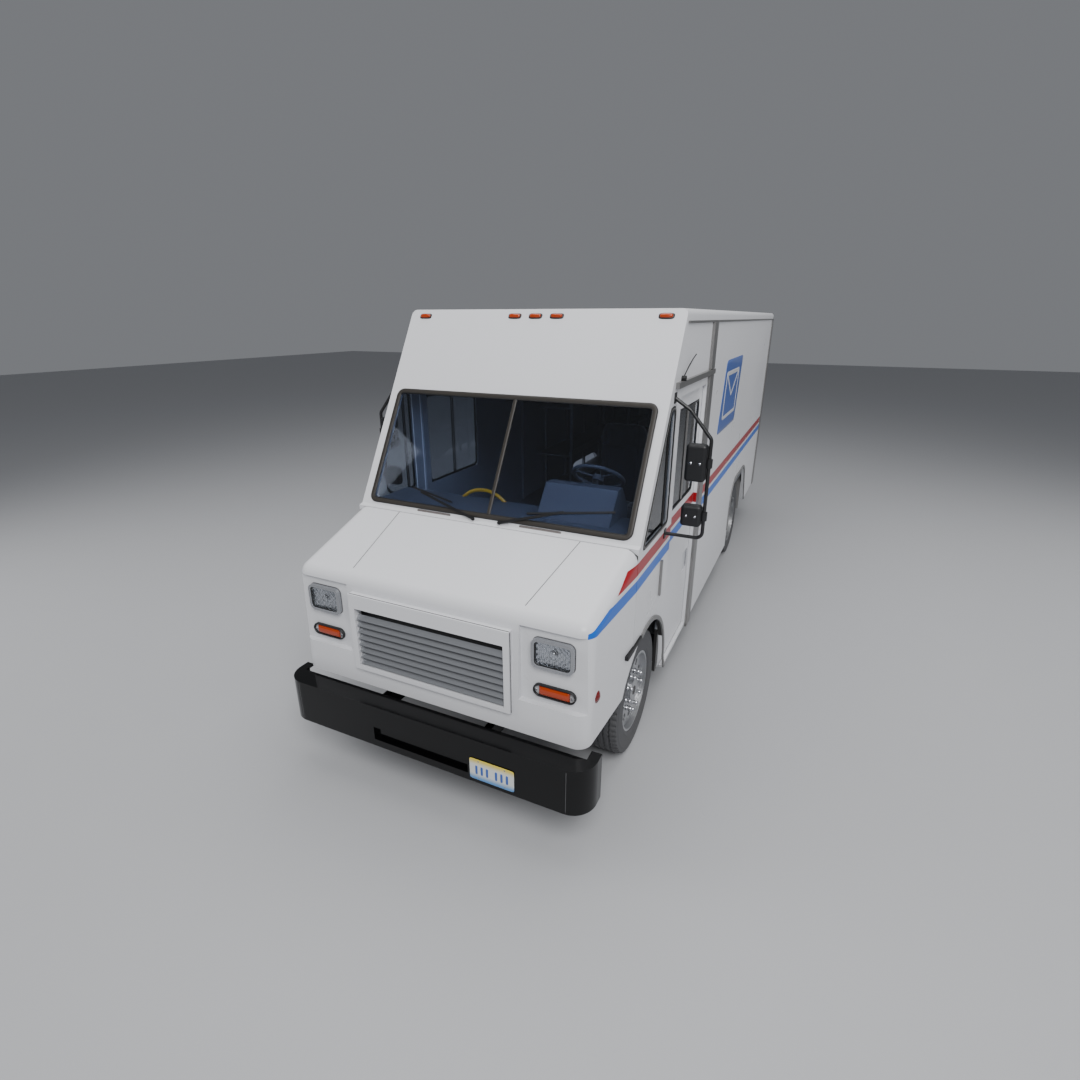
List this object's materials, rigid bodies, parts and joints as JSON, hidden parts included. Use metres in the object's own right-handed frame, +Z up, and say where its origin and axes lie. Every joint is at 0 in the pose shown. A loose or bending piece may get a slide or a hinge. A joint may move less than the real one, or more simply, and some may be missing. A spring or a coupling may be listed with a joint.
{
  "type": "mail delivery truck",
  "caption": "Walk-in step van for mail: tilting hood, sliding cab doors, rear double doors, racked cargo body, steered front wheels and dual rear wheels.",
  "frame": {"origin": "on the ground under the middle of the truck's bounding box", "axes": "+Z up, +Y towards the truck's rear, +X to the truck's left; it faces -Y"},
  "size_m": [2.764, 7.68, 3.094],
  "materials": {
    "body_paint": "gloss white paint",
    "chassis_paint": "satin black paint",
    "bumper_paint": "gloss black paint",
    "iron": "raw casting",
    "tank": "plain sheet",
    "trim": "anodised",
    "galvanised": "galvanised",
    "glass": "clear",
    "lens": "fluted clear",
    "rubber": "matt",
    "tyre": "matt",
    "rim": "satin",
    "louvre": "satin",
    "chrome": "polished",
    "lamp": "moulded amber and red",
    "plate": "printed sheet",
    "dark_plastic": "fine grain",
    "grey_plastic": "fine grain",
    "fabric": "woven cover",
    "yellow": "gloss yellow paint",
    "floor": "ribbed, worn"
  },
  "bodies": {
    "truck_body": {"frame_rail_left": "chassis_paint", "frame_rail_right": "chassis_paint", "crossmembers": "chassis_paint", "suspension": "chassis_paint", "engine": "iron", "fuel_tank": "tank", "front_bumper": "bumper_paint", "rear_bumper": "bumper_paint", "side_panel_left": "body_paint", "side_panel_right": "body_paint", "roof_panel": "body_paint", "cab_front": "body_paint", "windshield_frame": "rubber", "fixed_glass": "glass", "rear_frame": "body_paint", "cargo_floor": "floor", "cab_floor": "floor", "side_trim": "trim", "wheel_arches": "rubber", "body_lamps": "lamp", "licence_plate": "plate", "steering_column": "dark_plastic", "dashboard": "grey_plastic", "shelves": "galvanised", "grab_handle": "yellow", "mirror_brackets": "chassis_paint"},
    "hood": {"hood_shell": "body_paint", "grille_louvres": "louvre", "headlight_bezels": "chrome", "headlight_lenses": "lens", "signal_lamps": "lamp", "hood_latches": "rubber"},
    "knuckle_left": {"knuckle_left": "iron"},
    "knuckle_right": {"knuckle_right": "iron"},
    "front_wheel_left": {"front_tyre_left": "tyre", "front_rim_left": "rim"},
    "front_wheel_right": {"front_tyre_right": "tyre", "front_rim_right": "rim"},
    "rear_wheels_left": {"rear_tyres_left": "tyre", "rear_rims_left": "rim"},
    "rear_wheels_right": {"rear_tyres_right": "tyre", "rear_rims_right": "rim"},
    "steering_wheel": {"steering_wheel": "grey_plastic"},
    "brake_pedal": {"brake_pedal": "chassis_paint"},
    "gear_selector": {"gear_selector": "dark_plastic"},
    "seat": {"seat_frame": "dark_plastic", "seat_cushions": "fabric"},
    "door_left": {"door_left": "body_paint", "door_glass_left": "glass"},
    "door_right": {"door_right": "body_paint", "door_glass_right": "glass"},
    "rear_door_left": {"rear_door_left": "body_paint"},
    "rear_door_right": {"rear_door_right": "body_paint"},
    "rear_latch": {"rear_latch_handle": "chrome"},
    "mirror_upper_left": {"mirror_upper_left": "dark_plastic"},
    "mirror_upper_right": {"mirror_upper_right": "dark_plastic"},
    "mirror_lower_left": {"mirror_lower_left": "dark_plastic"},
    "mirror_lower_right": {"mirror_lower_right": "dark_plastic"},
    "wiper_left": {"wiper_left": "rubber"},
    "wiper_right": {"wiper_right": "rubber"}
  },
  "joints": [
    {"name": "hood_tilt", "type": "hinge", "parent": "truck_body", "child": "hood", "pos_m": [0, -3.6, 0.7], "axis": [1, 0, 0], "range_deg": [0, 40]},
    {"name": "steer_left", "type": "hinge", "parent": "truck_body", "child": "knuckle_left", "pos_m": [0.85, -2.622, 0.461], "axis": [0, 0, 1], "range_deg": [-32, 32]},
    {"name": "steer_right", "type": "hinge", "parent": "truck_body", "child": "knuckle_right", "pos_m": [-0.85, -2.622, 0.461], "axis": [0, 0, 1], "range_deg": [-32, 32]},
    {"name": "front_spin_left", "type": "hinge", "parent": "knuckle_left", "child": "front_wheel_left", "pos_m": [0.932, -2.622, 0.461], "axis": [1, 0, 0], "continuous": true},
    {"name": "front_spin_right", "type": "hinge", "parent": "knuckle_right", "child": "front_wheel_right", "pos_m": [-0.932, -2.622, 0.461], "axis": [1, 0, 0], "continuous": true},
    {"name": "rear_spin_left", "type": "hinge", "parent": "truck_body", "child": "rear_wheels_left", "pos_m": [0.932, 1.78, 0.461], "axis": [1, 0, 0], "continuous": true},
    {"name": "rear_spin_right", "type": "hinge", "parent": "truck_body", "child": "rear_wheels_right", "pos_m": [-0.932, 1.78, 0.461], "axis": [1, 0, 0], "continuous": true},
    {"name": "steering_turn", "type": "hinge", "parent": "truck_body", "child": "steering_wheel", "pos_m": [0.525, -2.13, 1.905], "axis": [0, 0.6, 0.8], "range_deg": [-576, 576]},
    {"name": "brake_press", "type": "hinge", "parent": "truck_body", "child": "brake_pedal", "pos_m": [0.35, -2.54, 1.5], "axis": [-1, 0, 0], "range_deg": [0, 12], "stiffness_Nm_per_rad": 30, "springref_deg": -5.73},
    {"name": "selector_move", "type": "hinge", "parent": "truck_body", "child": "gear_selector", "pos_m": [0.23, -2.34, 1.54], "axis": [-1, 0, 0], "range_deg": [0, 24]},
    {"name": "seat_slide", "type": "slide", "parent": "truck_body", "child": "seat", "axis": [0, 1, 0], "range_m": [-0.08, 0.08]},
    {"name": "door_slide_left", "type": "slide", "parent": "truck_body", "child": "door_left", "axis": [0, 1, 0], "range_m": [0, 0.85]},
    {"name": "door_slide_right", "type": "slide", "parent": "truck_body", "child": "door_right", "axis": [0, 1, 0], "range_m": [0, 0.85]},
    {"name": "rear_door_swing_left", "type": "hinge", "parent": "truck_body", "child": "rear_door_left", "pos_m": [0.88, 3.675, 1.9], "axis": [0, 0, -1], "range_deg": [0, 110]},
    {"name": "rear_door_swing_right", "type": "hinge", "parent": "truck_body", "child": "rear_door_right", "pos_m": [-0.88, 3.675, 1.9], "axis": [0, 0, 1], "range_deg": [0, 110]},
    {"name": "latch_turn", "type": "hinge", "parent": "rear_door_right", "child": "rear_latch", "pos_m": [-0.09, 3.672, 1.5], "axis": [0, 1, 0], "range_deg": [0, 90]},
    {"name": "wiper_sweep_left", "type": "hinge", "parent": "truck_body", "child": "wiper_left", "pos_m": [0.104, -2.91398, 1.71445], "axis": [0, -0.8626, 0.5058], "range_deg": [0, 75]},
    {"name": "wiper_sweep_right", "type": "hinge", "parent": "truck_body", "child": "wiper_right", "pos_m": [-0.104, -2.91398, 1.71445], "axis": [0, -0.8626, 0.5058], "range_deg": [-75, 0]},
    {"name": "mirror_upper_turn_left", "type": "hinge", "parent": "truck_body", "child": "mirror_upper_left", "pos_m": [1.36, -2.305, 2.13], "axis": [0, 0, 1], "range_deg": [-25, 25]},
    {"name": "mirror_lower_turn_left", "type": "hinge", "parent": "truck_body", "child": "mirror_lower_left", "pos_m": [1.36, -2.305, 1.762], "axis": [0, 0, 1], "range_deg": [-25, 25]},
    {"name": "mirror_upper_turn_right", "type": "hinge", "parent": "truck_body", "child": "mirror_upper_right", "pos_m": [-1.36, -2.305, 2.13], "axis": [0, 0, 1], "range_deg": [-25, 25]},
    {"name": "mirror_lower_turn_right", "type": "hinge", "parent": "truck_body", "child": "mirror_lower_right", "pos_m": [-1.36, -2.305, 1.762], "axis": [0, 0, 1], "range_deg": [-25, 25]}
  ],
  "couplings": [
    {"joint": "steer_right", "follows": "steer_left", "ratio": 1},
    {"joint": "steering_turn", "follows": "steer_left", "ratio": 18},
    {"joint": "wiper_sweep_right", "follows": "wiper_sweep_left", "ratio": -1}
  ]
}
